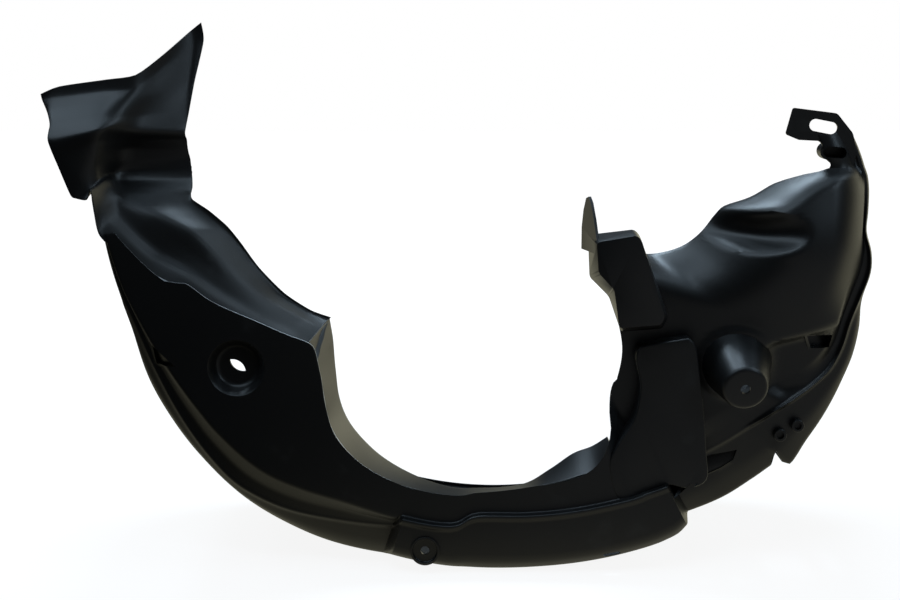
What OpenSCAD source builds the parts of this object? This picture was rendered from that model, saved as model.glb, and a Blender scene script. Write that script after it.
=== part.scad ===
/* [Shell] */
// Wall thickness of the moulding
wall = 2.5; // [2:0.25:3.5]
// Radius of the arch at the outboard rim
rim_r = 372; // [365:1:380]
// Depth of the arch, from the face to the outboard rim
barrel_d = 250; // [200:5:300]
// Height of the turned-in lip along the outboard rim
lip_h = 14; // [8:1:20]
// Depth of the collar around the opening
collar_d = 42; // [30:1:50]
// How far the skin beside the raised panel lies behind the face
recess_d = 20; // [14:1:26]
// How far the crown flange stands in front of the face
flange_d = 8; // [5:1:12]
// Depth of the step around the outer band
band_d = 12; // [8:1:16]
// Depth of the shoulder between the outer band and the arch
shoulder_d = 16; // [10:1:24]
// How far the crown flange's outer edge rolls back
flange_roll = 12; // [8:1:16]
// How far the raised panel's front stands proud of the face
panel_rise = 0.5; // [0.5:0.25:2]
// How far the box stands in front of the skin around it
box_h = 56; // [44:1:64]

/* [Dome] */
// How far the dome swells in front of the skin around it
dome_h = 26; // [16:1:32]
// Depth of the long dish in the dome
dish_d = 18; // [12:1:24]
// Half length of the long dish
dish_l = 45; // [40:1:52]
// Height of the long dish above its middle
dish_up = 17; // [14:1:20]
// Height of the long dish below its middle
dish_down = 25; // [20:1:28]

/* [Cone boss] */
// Height of the cone boss
boss_h = 52; // [40:1:60]
// Radius of the cone boss at its foot
boss_foot_r = 33; // [30:1:36]
// Radius of the cone boss at its tip
boss_tip_r = 20; // [16:1:24]
// Radius of the screw hole in the cone boss
boss_hole_r = 4.5; // [3:0.25:7]
// Tilt of the cone boss below level
boss_tilt = 14; // [8:1:20]

/* [Round dish] */
// Radius of the round dish in the face
round_r = 25; // [22:1:28]
// Depth of the round dish
round_d = 12; // [8:1:16]
// Radius of the round dish's floor
round_floor_r = 19; // [15:1:20]
// Radius of the arcs that bound the eye-shaped slot
eye_arc_r = 12; // [11:0.5:16]
// Half width of the eye-shaped slot
eye_w = 4; // [3:0.5:5]

/* [Screw tab] */
// Radius of the washer seat on the crown flange
seat_r = 11; // [9:1:13]
// How far the washer seat is sunk
seat_d = 3; // [2:0.5:5]
// Radius of the screw hole in the washer seat
seat_hole_r = 4; // [3:0.25:6]

/* [Bracket] */
// Thickness of the top bracket
bracket_t = 3; // [2.5:0.25:5]
// How far the bracket lies behind the recessed skin
bracket_set = 14; // [12:1:18]
// Half height of the bracket's long hole
bracket_hole_r = 5.5; // [4:0.5:7]
// Distance between the centres of the long hole's round ends
bracket_hole_l = 15; // [8:1:18]
// Depth of the fold's pocket behind the bracket's front
fold_d = 13; // [10:1:16]

/* [Hidden] */
$fn = 64;

// Everything is laid out about the wheel's axle: X to the rear, Y outboard, Z up, and the face at Y = 0.
// An angle turns from +X through +Z, so the crown of the arch is at 270.

function polar(a, r, y) = [r * cos(a), y, r * sin(a)];
function clamp01(t) = min(1, max(0, t));
function ease(t) = clamp01(t) * clamp01(t) * (3 - 2 * clamp01(t));
function mix(a, b, t) = a + (b - a) * t;

// A smooth curve through a list of numbers, points or rows of points, with n steps to a span
function spline(a, b, c, d, t) =
    0.5 * (2 * b + t * (c - a) + t * t * (2 * a - 5 * b + 4 * c - d) + t * t * t * (3 * b - a - 3 * c + d));
function refine(rows, n) = [
    for (i = [0 : len(rows) - 2])
        for (k = [0 : n - 1])
            spline(rows[max(0, i - 1)], rows[i], rows[i + 1], rows[min(len(rows) - 1, i + 2)], k / n),
    rows[len(rows) - 1]
];

// A moulded sheet: rows of points give its outer skin, and the wall grows to the other side
module sheet(rows, t = wall) {
    nu = len(rows);
    nv = len(rows[0]);
    function along(i, j) = rows[min(nu - 1, i + 1)][j] - rows[max(0, i - 1)][j];
    function across(i, j) = rows[i][min(nv - 1, j + 1)] - rows[i][max(0, j - 1)];
    function normal(i, j) = let (n = cross(along(i, j), across(i, j))) n / norm(n);
    outer = [for (i = [0 : nu - 1]) for (j = [0 : nv - 1]) rows[i][j]];
    inner = [for (i = [0 : nu - 1]) for (j = [0 : nv - 1]) rows[i][j] + t * normal(i, j)];
    back = nu * nv;
    function at(i, j) = i * nv + j;
    function quad(a, b, c, d) = [[a, b, c], [a, c, d]];
    skins = [
        for (i = [0 : nu - 2])
            for (j = [0 : nv - 2])
                let (a = at(i, j), b = at(i + 1, j), c = at(i + 1, j + 1), d = at(i, j + 1))
                    each concat(quad(a, b, c, d), quad(back + a, back + d, back + c, back + b))
    ];
    side_edges = [
        for (i = [0 : nu - 2])
            let (a = at(i, 0), b = at(i + 1, 0), c = at(i, nv - 1), d = at(i + 1, nv - 1))
                each concat(quad(a, back + a, back + b, b), quad(c, d, back + d, back + c))
    ];
    end_edges = [
        for (j = [0 : nv - 2])
            let (a = at(0, j), b = at(0, j + 1), c = at(nu - 1, j), d = at(nu - 1, j + 1))
                each concat(quad(a, b, back + b, back + a), quad(c, back + c, back + d, d))
    ];
    polyhedron(points = concat(outer, inner), faces = concat(skins, side_edges, end_edges), convexity = 12);
}

// Stations of the arch. Each holds an angle, then the radius of the opening's edge, of the face's outer
// edge, of the outer band's inner edge and of the outline, then the depth of the band and of the outline.
// The rear stations' depths are counted from the recessed skin.
shoulder_y = band_d + shoulder_d;
rear_end = 366;
front_arc = [
    [189, 352, 361, 363, 366, band_d, shoulder_y],
    [192, 342, 360, 363, 367, band_d, shoulder_y],
    [198, 320, 358, 363, 368, band_d, shoulder_y],
    [199.5, 303, 357, 363, 369, band_d, shoulder_y],
    [204, 288, 355, 363, 372, band_d, shoulder_y],
    [211, 262, 353, 367, 381, band_d, shoulder_y],
    [218, 243, 353, 373, 386, band_d, shoulder_y],
    [221.5, 235, 354, 376, 388, band_d, shoulder_y],
    [224, 236, 354, 378, 389, band_d, shoulder_y],
    [229, 251, 354, 381, 391, band_d, shoulder_y],
    [233, 268, 352, 379, 392, band_d, shoulder_y],
    [238, 287, 346, 373, 391, band_d, shoulder_y],
    [245, 299, 338, 360, 388, band_d, shoulder_y],
    [253, 304, 336, 347, 381, band_d, shoulder_y]
];
crown_arc = [
    [254, 304, 327, 335, 372, -flange_d, flange_roll - flange_d],
    [262, 302, 325, 332, 372, -flange_d, flange_roll - flange_d],
    [266, 297, 313, 320, 371, -flange_d, flange_roll - flange_d],
    [275, 292, 313, 320, 371, -flange_d, flange_roll - flange_d],
    [286, 288, 316, 323, 374, -flange_d, flange_roll - flange_d],
    [292, 265, 319, 326, 376, -flange_d, flange_roll - flange_d],
    [294, 245, 319, 326, 376, -flange_d, flange_roll - flange_d],
    [296, 229, 320, 327, 375, -flange_d, flange_roll - flange_d],
    [297.6, 222, 321, 328, 371, -flange_d, flange_roll - flange_d]
];
rear_arc = [
    [298.6, 221, 306, 326, 371, 4, 16],
    [304, 197, 302, 326, 370, 8, 18],
    [309, 160, 300, 328, 371, 4, 16],
    [313.4, 124, 305, 331, 374, 2, 16],
    [314.2, 121, 306, 332, 384, 2, 17],
    [318, 112, 312, 337, 379, 2, 18],
    [322, 114, 322, 345, 376, 4, 20],
    [325.5, 135, 332, 352, 373, 8, 22],
    [328.5, 157, 338, 357, 371, 12, 24],
    [332, 171, 340, 357, 370, 16, 28],
    [336, 183, 336, 353, 366, 18, 32],
    [340, 191, 334, 352, 358, 18, 34],
    [344, 197, 335, 352, 356, 18, 36],
    [347, 201, 335, 347, 351, 18, 36],
    [350, 208, 333, 338, 341, 18, 38],
    [353, 229, 331, 336, 338, 18, 38],
    [356.5, 250, 329, 334, 336, 18, 38],
    [358.7, 274, 326, 331, 334, 16, 36],
    [360, 296, 322, 328, 331, 16, 36],
    [362.5, 292, 318, 323, 326, 16, 34],
    [rear_end, 287, 311, 315, 318, 16, 30]
];

function behind(s, depth) = [s[0], s[1], s[2], s[3], s[4], s[5] + depth, s[6] + depth];

// The rear end of the outboard rim stops short of the bracket
rim_turn = 330;
function rim_angle(a) = a < rim_turn ? a : mix(rim_turn, a, 0.5);

// Centre of the long dish, and centre and reach of the dome around it
dish_x = 231;
dish_z = -51;
dish_crease = 7;
dome_x = 262;
dome_z = -80;
dome_reach = 80;
// The dome's lower edge, behind which the skin steps back
dome_foot = [[240, -158], [274, -149], [309, -140], [328, -126], [340, -104], [344, -84]];
dome_step_d = 10;

function sink_depth(a) = recess_d * ease((a - 290) / 6);
// The skin rolls back towards its free upper edge and towards the rear
function edge_roll(a, gap) =
    38 * ease((a - 318) / 12) * (1 - 0.6 * ease((a - 356) / 5)) * pow(clamp01(1 - gap / 46), 2);
function back_roll(a, gap) = 20 * ease((a - 330) / 16) * pow(clamp01(1 - gap / 34), 2);
function dome_swell(x, z) = dome_h * exp(-pow(norm([x - dome_x, z - dome_z]) / dome_reach, 2));
function dome_step(x, z) =
    dome_step_d * ease((x - 232) / 24) * ease((lookup(x, dome_foot) - z) / 8);
// The dish is pointed at both ends. It drops from its upper lip to a crease and rises evenly below it.
function dish_dip(x, z) =
    let (
        swell = 1 - pow((x - dish_x) / dish_l, 2),
        top = dish_z + swell * dish_up, crease = dish_z - swell * dish_crease, bottom = dish_z - swell * dish_down
    )
        swell <= 0 || z >= top || z <= bottom ? 0
        : dish_d * sqrt(swell)
            * (z > crease ? 1 - pow(1 - (top - z) / (top - crease), 1.6) : (z - bottom) / (crease - bottom));
function face_depth(a, r, r_in, r_out) =
    a < 290 ? 0
    : let (x = r * cos(a), z = r * sin(a))
        sink_depth(a) + edge_roll(a, r - r_in) + back_roll(a, r_out - r)
            - ease((a - 300) / 20) * dome_swell(x, z) + dish_dip(x, z) + dome_step(x, z);

face_steps = 9;
// The band stays level up to the share turn_at of its width, then turns down over the shoulder
function arch_row(s, level, turn_at) = let (a = s[0], turn = mix(s[3], s[4], turn_at)) concat(
    [for (k = [0 : face_steps])
        let (r = mix(s[1], s[2], k / face_steps)) polar(a, r, face_depth(a, r, s[1], s[2]))],
    [
        polar(a, mix(s[2], s[3], 0.5), max(face_depth(a, s[2], s[1], s[2]), s[5] - 1)),
        polar(a, s[3], s[5]),
        polar(a, turn, mix(s[5], s[6], level)),
        polar(a, s[4], s[6]),
        polar(mix(a, rim_angle(a), 0.1), s[4] + 1, s[6] + 10),
        polar(mix(a, rim_angle(a), 0.6), mix(s[4] + 1, rim_r, 0.6), mix(s[6], barrel_d, 0.6)),
        polar(rim_angle(a), rim_r, barrel_d - 4),
        polar(rim_angle(a), rim_r - 4, barrel_d),
        polar(rim_angle(a), rim_r - lip_h, barrel_d)
    ]
);
function arch_rows() = concat(
    [for (s = refine(front_arc, 2)) arch_row(s, 0.45, 0.6)],
    [for (s = refine(crown_arc, 2)) arch_row(s, 0.1, 0.78)],
    [for (s = refine(rear_arc, 2)) arch_row(behind(s, recess_d), 0.45, 0.6)]
);

// The shelf above the front face and the wing above the shelf. Each row runs from the edge that the
// face carries up a slope, over a riser and a second slope, to the free edge with its lip.
shelf_rows = [
    [
        [-169, 1.5, -174], [-167, 8, -168], [-166, 16, -162], [-164, 24, -156],
        [-163, 33, -150], [-161, 47, -144], [-159, 48, -141]
    ],
    [
        [-190, 1.5, -160], [-190, 8, -153], [-189, 16, -148], [-187, 24, -143],
        [-184, 32, -139], [-180, 47, -136], [-178, 48, -134]
    ],
    [
        [-224, 1.5, -143], [-222, 8, -137], [-219, 14, -133], [-215, 22, -127],
        [-213, 30, -122], [-205, 47, -120], [-202, 48, -118]
    ],
    [
        [-258, 1.5, -127], [-255, 8, -119], [-252, 16, -113], [-247, 21, -107],
        [-242, 28, -100], [-228, 47, -95], [-225, 48, -94]
    ],
    [
        [-290, 1.5, -108], [-286, 8, -98], [-282, 17, -92], [-275, 22, -84],
        [-267, 27, -73], [-246, 47, -72], [-242, 48, -70]
    ],
    [
        [-318, 1.5, -93], [-315, 8, -83], [-309, 18, -77], [-298, 22, -67],
        [-284, 26, -57], [-259, 46, -58], [-254, 48, -55]
    ],
    [
        [-344, 1.5, -75], [-338, 8, -63], [-332, 18, -57], [-322, 22, -48],
        [-311, 27, -42], [-276, 47, -44], [-270, 48, -41]
    ],
    [
        [-361, 1.5, -58], [-355, 8, -48], [-347, 20, -40], [-340, 24, -35],
        [-331, 30, -32], [-290, 48, -34], [-285, 50, -31]
    ],
    [
        [-365, 2, -38], [-360, 10, -33], [-353, 22, -27], [-348, 28, -25],
        [-341, 36, -24], [-292, 52, -27], [-287, 53, -26]
    ],
    [
        [-367, 3, -23], [-363, 12, -21], [-358, 24, -18], [-353, 32, -18],
        [-346, 42, -19], [-292, 55, -22], [-286, 56, -20]
    ],
    [
        [-369, 4, -17], [-365, 14, -14], [-360, 26, -11], [-356, 36, -11],
        [-350, 50, -13], [-293, 62, -13], [-287, 63, -12]
    ]
];
wing_rows = [
    [
        [-375, 12, -27], [-371, 16, -19], [-365, 24, -10], [-360, 38, -6],
        [-350, 54, -5], [-293, 65, -5], [-288, 66, -5]
    ],
    [
        [-384, 13, -26], [-376, 15, -11], [-367, 21, 1], [-359, 36, 4],
        [-344, 54, 5], [-295, 66, 5], [-289, 67, 5]
    ],
    [
        [-389, 14, -23], [-381, 14, -3], [-366, 18, 13], [-358, 32, 15],
        [-342, 51, 16], [-295, 65, 14], [-291, 66, 14]
    ],
    [
        [-398, 14, 0], [-391, 13, 11], [-365, 15, 24], [-356, 27, 25],
        [-338, 46, 24], [-296, 62, 23], [-291, 63, 23]
    ],
    [
        [-407, 13, 26], [-399, 12, 27], [-364, 12, 35], [-352, 20, 37],
        [-334, 40, 33], [-296, 58, 31], [-292, 60, 30]
    ],
    [
        [-407, 24, 41], [-404, 23, 42], [-363, 23, 48], [-346, 30, 47],
        [-328, 46, 47], [-294, 64, 48], [-289, 66, 48]
    ],
    [
        [-413, 36, 52], [-407, 33, 53], [-362, 33, 60], [-340, 38, 62],
        [-320, 52, 65], [-291, 72, 74], [-284, 74, 77]
    ],
    [
        [-418, 42, 61], [-404, 39, 63], [-359, 39, 69], [-334, 44, 72],
        [-313, 60, 88], [-286, 80, 108], [-276, 81, 113]
    ],
    [
        [-419, 42, 66], [-401, 41, 73], [-359, 41, 79], [-333, 46, 83],
        [-311, 61, 100], [-288, 81, 122], [-278, 82, 130]
    ]
];

// The collar runs back from the opening's edge. Each station holds an angle, the radius at the edge,
// the radius at the back and the depth of the back.
collar_arc = [
    [221.5, 236, 214, collar_d + 8], [226, 246, 226, collar_d + 6], [231, 260, 246, collar_d + 4],
    [235, 278, 264, collar_d], [239, 290, 278, collar_d], [244, 299, 289, collar_d],
    [249, 303, 297, collar_d], [256, 304, 304, collar_d], [262, 303, 307, collar_d], [266, 298, 305, collar_d],
    [274, 293, 301, collar_d], [279, 291, 290, collar_d], [284, 289, 279, collar_d],
    [288, 287, 277, collar_d], [291.5, 276, 273, collar_d]
];
function collar_row(s) = [
    polar(s[0], s[2], s[3]), polar(s[0], mix(s[1], s[2], 0.6), 0.6 * s[3]),
    polar(s[0], mix(s[1], s[2], 0.15), 7), polar(s[0], s[1], 1)
];

// Outlines in X and Z of what stands on the skin. The box's two begin at its inner corner.
panel_outline = [
    [98, -271], [106, -250], [119, -229], [124, -210], [125, -193], [121, -174], [121, -166], [124, -160],
    [130, -158], [164, -152], [170, -153], [174, -158], [177, -170], [183, -214], [187, -258], [188, -284],
    [171, -292], [152, -289], [131, -296], [108, -303]
];
box_front = [[96, -101], [82, -86], [80, -59], [115, -53], [119, -57], [141, -124], [138, -132], [101, -135]];
box_back = [[98, -118], [80, -100], [78, -61], [120, -56], [125, -61], [154, -138], [148, -149], [110, -152]];
box_y = recess_d - box_h;
// The flap's outline is in Y and Z, with Y counted from the recessed skin
flap_outline = [
    [-40, -72], [-40, -60], [-32, -42], [-24, -28], [-18, -23], [-12, -25], [-6, -36], [-2, -52], [-2, -72]
];
flap_x = 76;
flap_turn = 16;
bracket_outline = [
    [256, 30], [262, 54], [302, 49], [317, 31], [321, 14], [318, -2], [300, 2], [293, 8], [292, 17], [287, 24],
    [268, 25]
];
bracket_y = recess_d + bracket_set;
bracket_hole = [290, 37];
fold_at = [301, 14];
fold_r = 5;
fold_l = 11;
fold_turn = -4;

// Places of the other features
round_at = [-242, -179];
boss_at = [215, -179];
seat_at = [-71, -350];
drain_at = [102, -355];
cup_places = [[259, -248], [275, -239]];
cup_r = 6;
cup_h = 6;
cup_y = recess_d + 2;
notch_outline = [[257, -264], [253, -290], [272, -290]];
front_pocket = [[-316, -155], [-315, -178], [-290, -202]];
rear_pocket = [[278, -152], [304, -153], [302, -165], [284, -165]];

// Extrudes an outline in X and Z outboard from depth y0
module outboard(y0, depth) {
    translate([0, y0 + depth, 0]) rotate([90, 0, 0]) linear_extrude(depth) children();
}
module post(at, y0, depth, r1, r2) {
    translate([at[0], y0, at[1]]) rotate([-90, 0, 0]) cylinder(h = depth, r1 = r1, r2 = r2);
}
module slot(at, y0, depth, half_h, centres, turn) {
    translate([at[0], y0, at[1]]) rotate([0, -turn, 0]) {
        for (side = [-1, 1])
            translate([side * centres / 2, 0, 0]) rotate([-90, 0, 0]) cylinder(h = depth, r = half_h);
        translate([-centres / 2, 0, -half_h]) cube([centres, depth, 2 * half_h]);
    }
}

module liner_skin() {
    sheet(arch_rows());
    sheet(refine(concat(shelf_rows, wing_rows), 2));
    sheet([for (s = refine(collar_arc, 2)) collar_row(s)]);
}

// A box that tapers from one outline to another with as many points. Both caps fan out from the first
// point, so that point has to see all the others.
module tapered(front, back, y0, y1) {
    n = len(front);
    points = concat([for (p = front) [p[0], y0, p[1]]], [for (p = back) [p[0], y1, p[1]]]);
    sides = [for (i = [0 : n - 1]) let (k = (i + 1) % n) each [[i, n + k, k], [i, n + i, n + k]]];
    caps = [for (i = [1 : n - 2]) each [[0, i, i + 1], [n, n + i + 1, n + i]]];
    polyhedron(points = points, faces = concat(sides, caps));
}
// The unit vector to the right of the way from a to b, which is inwards on a clockwise outline
function inward(a, b) = [b[1] - a[1], a[0] - b[0]] / norm(b - a);
function inset(outline) = [
    for (i = [0 : len(outline) - 1])
        let (
            n = len(outline), here = outline[i],
            before = inward(outline[(i + n - 1) % n], here), after = inward(here, outline[(i + 1) % n])
        )
            here + wall * (before + after) / (1 + before * after)
];

module panel_block() {
    outboard(-panel_rise, recess_d + wall + panel_rise) polygon(panel_outline);
}
module panel_hollow() {
    outboard(wall - panel_rise, recess_d + wall) offset(delta = -wall) polygon(panel_outline);
}

module box_block() {
    tapered(box_front, box_back, box_y, recess_d + wall);
}
module box_hollow() {
    tapered(inset(box_front), inset(box_back), box_y + wall, recess_d + 2 * wall);
}
module flap() {
    translate([flap_x, 0, 0]) rotate([0, 0, flap_turn]) translate([0, recess_d, 0])
        rotate([90, 0, 90]) linear_extrude(wall) polygon(flap_outline);
}

boss_root = 8;
boss_slope = (boss_foot_r - boss_tip_r) / boss_h;
module on_boss() {
    translate([boss_at[0], recess_d, boss_at[1]]) rotate([90 + boss_tilt, 0, 0]) children();
}
module boss_block() {
    on_boss() translate([0, 0, -boss_root])
        cylinder(h = boss_h + boss_root, r1 = boss_foot_r + boss_root * boss_slope, r2 = boss_tip_r);
}
module boss_hollow() {
    on_boss() translate([0, 0, -boss_root - wall])
        cylinder(
            h = boss_h + boss_root, r1 = boss_foot_r - wall + (boss_root + wall) * boss_slope,
            r2 = boss_tip_r - wall + wall * boss_slope
        );
    on_boss() cylinder(h = boss_h + wall, r = boss_hole_r);
}

module round_dish_block() {
    post(round_at, 0, round_d + wall, round_r + wall, round_floor_r + wall);
}
module round_dish_hollow() {
    post(round_at, -0.01, round_d, round_r, round_floor_r);
}
// Two arcs bound the eye-shaped slot in the dish's floor
module eye_slot() {
    translate([round_at[0], 0, round_at[1]]) rotate([0, 38, 0]) intersection() {
        post([0, eye_w - eye_arc_r], 0, round_d + 2 * wall, eye_arc_r, eye_arc_r);
        post([0, eye_arc_r - eye_w], 0, round_d + 2 * wall, eye_arc_r, eye_arc_r);
    }
}

module seat_block() {
    post(seat_at, -flange_d, seat_d + wall, seat_r + wall, seat_r + wall);
}
module seat_hollow() {
    post(seat_at, -flange_d - wall, seat_d + wall, seat_r, seat_r);
    post(seat_at, -flange_d - wall, seat_d + 3 * wall, seat_hole_r, seat_hole_r);
}

module bracket() {
    outboard(bracket_y, bracket_t) polygon(bracket_outline);
    slot(fold_at, bracket_y, fold_d + wall, fold_r + wall, fold_l, fold_turn);
}
module bracket_holes() {
    slot(bracket_hole, bracket_y - wall, bracket_t + 2 * wall, bracket_hole_r, bracket_hole_l, -11);
    slot(fold_at, 0, bracket_y + fold_d, fold_r, fold_l, fold_turn);
}

module cups() {
    for (at = cup_places) post(at, cup_y, 2 * cup_h, cup_r, cup_r);
}
module cup_hollows() {
    for (at = cup_places) post(at, cup_y - wall, cup_h, cup_r - wall, cup_r - wall);
}

module openings() {
    outboard(recess_d / 2, 4 * recess_d) polygon(notch_outline);
    outboard(-wall, shoulder_y) polygon(front_pocket);
    outboard(-wall, 3 * recess_d) polygon(rear_pocket);
    slot(drain_at, -2 * flange_d, 4 * flange_d, 2, 12, 9);
}

// From the axle frame to the frame of the part, whose origin is under the middle of its box
wing_reach = -min([for (row = wing_rows) row[0][0]]);
part_shift = [(wing_reach - rim_r * cos(rim_angle(rear_end))) / 2, -(barrel_d + box_y) / 2, rim_r];

module fixtures() {
    panel_block();
    box_block();
    flap();
    boss_block();
    round_dish_block();
    seat_block();
    bracket();
    cups();
}
module hollows() {
    panel_hollow();
    box_hollow();
    boss_hollow();
    round_dish_hollow();
    eye_slot();
    seat_hollow();
    bracket_holes();
    cup_hollows();
    openings();
}

module liner() {
    color([0.05, 0.05, 0.055]) translate(part_shift) difference() {
        union() {
            liner_skin();
            fixtures();
        }
        hollows();
    }
}

liner();
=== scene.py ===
# %% [markdown]
# # A wheel arch liner
# A wheel arch liner is one large moulding of black polypropylene. It lines the space around a car's wheel:
# a face towards the engine with a big opening for the hub, an arch over the tyre, a wing that closes the
# side, and a few bosses, pockets and holes for screws. Here it lies on its crown, as in the photograph.
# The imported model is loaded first, as a fixed frame. Its box tells where the wheel's axle is, and every
# size below is counted from the axle: X to the rear, Y outboard, Z up, in millimetres, as on the drawing.

# %% The frame
import math
import bmesh
import bpy
from mathutils import Matrix, Vector


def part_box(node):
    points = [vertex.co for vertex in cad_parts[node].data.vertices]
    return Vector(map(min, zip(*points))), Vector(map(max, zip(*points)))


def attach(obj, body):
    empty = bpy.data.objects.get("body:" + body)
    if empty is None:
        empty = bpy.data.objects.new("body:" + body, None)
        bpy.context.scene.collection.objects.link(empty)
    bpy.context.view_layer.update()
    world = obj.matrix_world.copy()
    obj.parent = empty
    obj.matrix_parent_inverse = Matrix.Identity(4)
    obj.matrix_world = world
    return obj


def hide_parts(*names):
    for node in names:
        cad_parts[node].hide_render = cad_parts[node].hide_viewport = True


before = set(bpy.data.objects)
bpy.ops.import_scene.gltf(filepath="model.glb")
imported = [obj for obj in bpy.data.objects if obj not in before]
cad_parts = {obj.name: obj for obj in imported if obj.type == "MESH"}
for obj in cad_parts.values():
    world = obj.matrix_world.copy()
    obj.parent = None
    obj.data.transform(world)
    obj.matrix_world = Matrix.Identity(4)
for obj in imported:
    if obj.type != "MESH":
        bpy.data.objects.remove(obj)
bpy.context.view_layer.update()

MM = 0.001
wing_reach = 419
box_front = 36
rim_r = 372
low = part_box("liner")[0]
axle = Vector((low.x + MM * wing_reach, low.y + MM * box_front, low.z + MM * rim_r))
print("the axle is at", [round(value, 4) for value in axle])

# %% [markdown]
# ## Camera
# The photograph looks a little down on the part, from about 1.4 m. The camera stands there, level from side
# to side, with a lens that gives the photograph's frame of 900 by 600 pixels. The view transform is
# Standard, so a colour in the material comes out as the same colour in the picture.

# %% The camera
camera_at = (-47.9, -1378.7, 126.9)
camera_tilt = 80
camera_lens = 62.22

scene = bpy.context.scene
scene.view_settings.view_transform = "Standard"
camera_data = bpy.data.cameras.new("camera")
camera_data.sensor_width = 36
camera_data.lens = camera_lens
camera = bpy.data.objects.new("camera", camera_data)
camera.location = axle + MM * Vector(camera_at)
camera.rotation_euler = (math.radians(camera_tilt), 0, 0)
scene.collection.objects.link(camera)
scene.camera = camera
print("camera at", [round(value, 3) for value in camera.location])

# %% [markdown]
# ## Smooth rows of points
# A free-form moulding is drawn as a designer would loft it: a few stations, each with a handful of values,
# and a smooth curve through them. A Catmull-Rom curve passes through every station, so the numbers stay
# real sizes that can be read off the part. The same helper works for plain numbers and for points.

# %% Curve helpers
wall = 2.5


def mix(a, b, share):
    return a + (b - a) * share


def ease(share):
    share = min(1, max(0, share))
    return share * share * (3 - 2 * share)


def step_up(value, start, end):
    """0 up to the start, 1 from the end on, and a smooth rise between them."""
    return ease((value - start) / (end - start))


def curve_between(before, start, end, after, t, pull=0.5):
    """A point of a cardinal spline. A pull of 0.5 gives a Catmull-Rom curve, and less gives tighter bends."""
    rise = t * t * (3 - 2 * t)
    leave, arrive = t * (1 - t) ** 2, t * t * (t - 1)
    return tuple(
        mix(b, c, rise) + pull * (leave * (c - a) + arrive * (d - b))
        for a, b, c, d in zip(before, start, end, after)
    )


def refine(rows, steps, pull=0.5):
    """A smooth curve through the rows; steps is a number, a list or a function of a row and the next."""
    last = len(rows) - 1
    out = []
    for i, (start, end) in enumerate(zip(rows, rows[1:])):
        count = steps[i] if isinstance(steps, list) else steps(start, end) if callable(steps) else steps
        before, after = rows[max(0, i - 1)], rows[min(last, i + 2)]
        out += [curve_between(before, start, end, after, k / count, pull) for k in range(count)]
    return out + [tuple(rows[last])]


def polar(angle, radius, depth):
    turn = math.radians(angle)
    return Vector((radius * math.cos(turn), depth, radius * math.sin(turn)))


def rounded(points, radii, steps):
    """The broken line through the points, with each inner corner cut by an arc of its radius."""
    out = [points[0]]
    for before, corner, after, radius in zip(points, points[1:], points[2:], radii):
        reach = min(radius, 0.45 * (corner - before).length, 0.45 * (after - corner).length)
        start = corner + reach * (before - corner).normalized()
        end = corner + reach * (after - corner).normalized()
        for k in range(steps + 1):
            t = k / steps
            out.append((1 - t) ** 2 * start + 2 * t * (1 - t) * corner + t * t * end)
    return out + [points[-1]]


# %% [markdown]
# ## Stations of the arch
# Going round the arch, each station holds an angle, then four radii: the opening's edge, the face's outer
# edge, the outer band's inner edge and the outline. The last two values are how deep the band and the
# outline lie behind the face. The arch has three lengths: the front, the crown, whose flange stands
# forward to meet the bumper, and the rear, whose skin is sunk beside a raised panel. The rear's depths are
# counted from that sunk skin, and its shoulder swells out over part of the way.

# %% Station tables
barrel_d = 250
lip_h = 8
recess_d = 20
flange_d = 8
flange_roll = 12
band_d = 12
shoulder_d = 16
shoulder_y = band_d + shoulder_d
flange_y = flange_roll - flange_d

front_arc = [
    (189, 352, 361, 363, 366, band_d, shoulder_y), (192, 342, 360, 363, 367, band_d, shoulder_y),
    (198, 320, 358, 363, 368, band_d, shoulder_y), (199.5, 303, 357, 363, 369, band_d, shoulder_y),
    (204, 288, 355, 363, 372, band_d, shoulder_y), (211, 262, 353, 367, 381, band_d, shoulder_y),
    (218, 243, 353, 373, 386, band_d, shoulder_y), (221.5, 235, 354, 376, 388, band_d, shoulder_y),
    (224, 236, 354, 378, 389, band_d, shoulder_y), (229, 251, 354, 381, 391, band_d, shoulder_y),
    (233, 268, 352, 379, 392, band_d, shoulder_y), (238, 287, 346, 373, 391, band_d, shoulder_y),
    (245, 299, 338, 360, 388, band_d, shoulder_y), (253, 304, 336, 347, 381, band_d, shoulder_y),
]
crown_arc = [
    (254, 304, 327, 335, 372, -flange_d, flange_y), (262, 302, 325, 332, 372, -flange_d, flange_y),
    (266, 297, 313, 320, 371, -flange_d, flange_y), (275, 292, 313, 320, 371, -flange_d, flange_y),
    (286, 288, 316, 323, 374, -flange_d, flange_y), (292, 265, 319, 326, 376, -flange_d, flange_y),
    (294, 245, 319, 326, 376, -flange_d, flange_y), (296, 229, 320, 327, 375, -flange_d, flange_y),
    (297.6, 222, 321, 328, 371, -flange_d, flange_y),
]
rear_depths = [
    (298.6, 221, 306, 326, 371, 4, 16), (304, 197, 302, 326, 370, 8, 18), (309, 160, 300, 328, 371, 4, 16),
    (313.4, 124, 305, 331, 374, 2, 16), (314.2, 121, 306, 332, 384, 2, 17), (318, 112, 312, 337, 379, 2, 18),
    (322, 114, 322, 345, 376, 4, 20), (325.5, 135, 332, 352, 373, 8, 22), (328.5, 157, 338, 357, 371, 12, 24),
    (332, 171, 340, 357, 370, 16, 28), (336, 183, 336, 353, 366, 18, 32), (340, 191, 334, 352, 358, 18, 34),
    (344, 197, 335, 352, 356, 18, 36), (347, 201, 335, 347, 351, 18, 36), (350, 208, 333, 338, 341, 18, 38),
    (353, 229, 331, 336, 338, 18, 38), (356.5, 250, 329, 334, 336, 18, 38),
    (358.7, 274, 326, 331, 334, 16, 36), (360, 296, 322, 328, 331, 16, 36),
    (362.5, 292, 318, 323, 326, 16, 34), (366, 287, 311, 315, 318, 16, 30),
]
shoulder_swell = 7
swell_in = (298, 303)
swell_out = (324, 342)


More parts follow.
